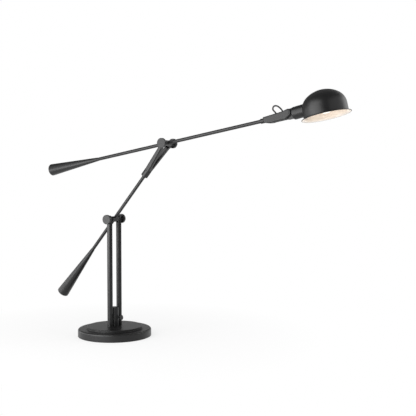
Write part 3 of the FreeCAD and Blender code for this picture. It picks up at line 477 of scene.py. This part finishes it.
def make_shade():
    """The black shade with its bead, and the white enamel inside it."""
    shell = spun_skin("spun_shade", 0, SHADE_SHEET)
    cut_holder_hole(shell)
    bead = shade_bead()
    bpy.ops.object.select_all(action="DESELECT")
    bead.select_set(True)
    shell.select_set(True)
    bpy.context.view_layer.objects.active = shell
    bpy.ops.object.join()
    enamel = spun_skin("shade_enamel", SHADE_SHEET + ENAMEL_GAP, ENAMEL_THICKNESS)
    cut_holder_hole(enamel)
    for piece, slot, node in (
        (shell, "black_paint", "shade_shell"),
        (enamel, "white_enamel", "shade_liner"),
    ):
        settle(piece, shade_place)
        bpy.ops.object.shade_smooth_by_angle(angle=math.radians(SMOOTH_ANGLE))
        piece.data.materials.clear()
        piece.data.materials.append(finishes[slot])
        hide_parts(node)
        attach(piece, "head")


make_shade()

# ---------------------------------------------------------------- studio
camera_turn = math.radians(CAMERA_AZIMUTH)
view_way = Vector((-math.sin(camera_turn), math.cos(camera_turn), 0))
right_way = Vector((view_way.y, -view_way.x, 0))


def studio_place(middle, degrees_left, distance):
    """A place round the given middle, by its turn from the camera's side to the left."""
    turn = math.radians(degrees_left)
    return middle + (-view_way * math.cos(turn) - right_way * math.sin(turn)) * distance


def facing(place, aim):
    """The turn that points a lamp or card at its aim."""
    return (Vector(aim) - Vector(place)).to_track_quat("-Z", "Y").to_euler()


def ray_switch(tree):
    """1 for what the camera sees straight, in a reflection or through glass, and 0 for other light."""
    path = add_node(tree, "ShaderNodeLightPath")
    mirror = add_node(
        tree,
        "ShaderNodeMath",
        {"operation": "MAXIMUM"},
        {0: path.outputs["Is Glossy Ray"], 1: path.outputs["Is Transmission Ray"]},
    )
    seen = add_node(
        tree,
        "ShaderNodeMath",
        {"operation": "MAXIMUM"},
        {0: path.outputs["Is Camera Ray"], 1: mirror.outputs["Value"]},
    )
    return seen.outputs["Value"]


WHITE = (1, 1, 1, 1)
FLOOR_SIZE = 40.0
PAPER_ROUGHNESS = 0.9
# Between these distances from the base's middle the floor goes from this share of shadow to none
SHADOW_NEAR = 0.12
SHADOW_FAR = 0.6
SHADOW_SHARE = 0.25


def white_floor():
    """White seamless paper: white to the camera, with the lamp's soft shadow kept round its base."""
    material, tree, shader = new_material("white_seamless_paper")
    shader.inputs["Base Color"].default_value = colour("#f4f4f4")
    shader.inputs["Roughness"].default_value = PAPER_ROUGHNESS
    shader.inputs["Specular IOR Level"].default_value = 0.0
    place = add_node(tree, "ShaderNodeTexCoord")
    reach = add_node(
        tree,
        "ShaderNodeVectorMath",
        {"operation": "LENGTH"},
        {0: place.outputs["Object"]},
    )
    fade = add_node(
        tree,
        "ShaderNodeMapRange",
        {"From Min": SHADOW_NEAR, "From Max": SHADOW_FAR, "To Min": 1 - SHADOW_SHARE, "To Max": 1.0},
        {"Value": reach.outputs["Value"]},
    )
    white_share = add_node(
        tree,
        "ShaderNodeMath",
        {"operation": "MULTIPLY"},
        {0: fade.outputs["Result"], 1: ray_switch(tree)},
    )
    white = add_node(tree, "ShaderNodeEmission", {"Color": WHITE, "Strength": 1.0})
    mix = add_node(
        tree,
        "ShaderNodeMixShader",
        {},
        {0: white_share.outputs["Value"], 1: shader.outputs["BSDF"], 2: white.outputs["Emission"]},
    )
    tree.links.new(mix.outputs["Shader"], tree.nodes["Material Output"].inputs["Surface"])
    return material


def make_floor():
    """The paper that the lamp stands on."""
    bpy.ops.mesh.primitive_plane_add(size=FLOOR_SIZE)
    floor = bpy.context.object
    floor.name = "floor"
    floor.data.materials.append(white_floor())


def softbox(name, place, aim, width, height, level, in_reflections=True):
    """A rectangular softbox, whose level is its own brightness: 1 is as bright as white paper."""
    light = bpy.data.lights.new(name, "AREA")
    light.shape = "RECTANGLE"
    light.size = width
    light.size_y = height
    light.energy = level * math.pi * width * height
    lamp = bpy.data.objects.new(name, light)
    lamp.location = place
    lamp.rotation_euler = facing(place, aim)
    lamp.visible_camera = False
    lamp.visible_glossy = in_reflections
    bpy.context.scene.collection.objects.link(lamp)


def studio_card(name, place, aim, width, height, level):
    """A card that only reflections show: black at level 0, white paper at 1, a lit panel above 1."""
    bpy.ops.mesh.primitive_plane_add(size=1, location=place, rotation=facing(place, aim))
    card = bpy.context.object
    card.name = name
    card.scale = (width, height, 1)
    bpy.ops.object.transform_apply(location=True, rotation=True, scale=True)
    card.data.materials.append(card_paper(name + "_paper", level))
    card.visible_camera = False
    card.visible_diffuse = False
    card.visible_transmission = False
    card.visible_shadow = False


def card_paper(name, level):
    """Matt studio card, evenly lit: one plain grey in a reflection."""
    material, tree, _ = new_material(name)
    paper = add_node(tree, "ShaderNodeEmission", {"Color": (level, level, level, 1), "Strength": 1.0})
    tree.links.new(paper.outputs["Emission"], tree.nodes["Material Output"].inputs["Surface"])
    return material


make_floor()

# Softboxes and cards stand round these places, in metres. Low strips, up to STRIP_HEIGHT, show in
# the posts and the base, and the tall ones in the arms and the shade.
STRIP_HEIGHT = 0.5
STRIP_MIDDLE = STRIP_HEIGHT / 2
POSTS = Vector((0.0, 0.0, STRIP_MIDDLE))
LAMP_LOW = Vector((0.25, 0.0, STRIP_MIDDLE))
LAMP_MIDDLE = Vector((0.25, 0.0, 1.1))
LAMP_RIGHT = Vector((0.25, 0.0, 1.35))
LAMP_BACK = Vector((0.25, 0.0, 1.4))
HEAD = Vector((0.62, 0.0, 0.78))
HEAD_HIGH = Vector((0.62, 0.0, 1.0))
SHADE_LOW = Vector((0.63, 0.0, 0.12))
SHADE_MOUTH = Vector((0.63, 0.0, 0.6))
TOP_AIM = Vector((0.25, 0.0, 0.3))
TOP_LIGHT = Vector((0.25, 0.5, 2.2))
TOP_CARD = Vector((0.25, 0.0, 2.3))

# Name, middle, degrees left of the camera, distance, width, height and level of each softbox
for name, middle, degrees_left, distance, width, height, level in (
    ("left_softbox", HEAD, 60, 1.15, 1.3, 1.5, 2.5),
    ("right_softbox", HEAD_HIGH, -115, 1.4, 0.9, 1.0, 1.5),
):
    softbox(name, studio_place(middle, degrees_left, distance), middle, width, height, level)

# These two show in no reflection: one lights the inside of the shade, and one the lamp from above
shade_light = studio_place(SHADE_LOW, -50, 0.9)
softbox("shade_softbox", shade_light, SHADE_MOUTH, 1.0, 0.5, 1.7, in_reflections=False)
softbox("top_softbox", TOP_LIGHT, TOP_AIM, 1.4, 0.8, 1.2, in_reflections=False)

# The same values of each card
for name, middle, degrees_left, distance, width, height, level in (
    ("left_low_card", POSTS, 42, 1.0, 1.4, STRIP_HEIGHT, 4.4),
    ("left_back_card", POSTS, 98, 1.1, 1.1, STRIP_HEIGHT, 2.6),
    ("front_card", LAMP_MIDDLE, -3, 1.7, 1.0, 2.2, 0.12),
    ("right_card", LAMP_RIGHT, -58, 1.7, 2.0, 1.7, 1.0),
    ("right_low_card", POSTS, -68, 1.3, 3.4, STRIP_HEIGHT, 0.03),
    ("back_left_card", LAMP_BACK, 135, 1.9, 2.2, 1.8, 0.2),
    ("back_card", LAMP_BACK, 180, 1.9, 2.4, 1.8, 0.2),
    ("back_low_card", LAMP_LOW, 180, 1.9, 2.4, STRIP_HEIGHT, 0.8),
):
    studio_card(name, studio_place(middle, degrees_left, distance), middle, width, height, level)
studio_card("top_card", TOP_CARD, TOP_AIM, 4.0, 4.0, 0.25)

WORLD_SOFT = 0.5


def make_world():
    """Soft light all round, and white where the camera or a reflection sees the backdrop."""
    world = bpy.data.worlds.new("studio")
    world.use_nodes = True
    bpy.context.scene.world = world
    tree = world.node_tree
    soft = tree.nodes["Background"]
    soft.inputs["Color"].default_value = WHITE
    soft.inputs["Strength"].default_value = WORLD_SOFT
    white = add_node(tree, "ShaderNodeBackground", {"Color": WHITE, "Strength": 1.0})
    mix = add_node(
        tree,
        "ShaderNodeMixShader",
        {},
        {0: ray_switch(tree), 1: soft.outputs["Background"], 2: white.outputs["Background"]},
    )
    tree.links.new(mix.outputs["Shader"], tree.nodes["World Output"].inputs["Surface"])


make_world()
bpy.context.scene.view_settings.view_transform = "Standard"
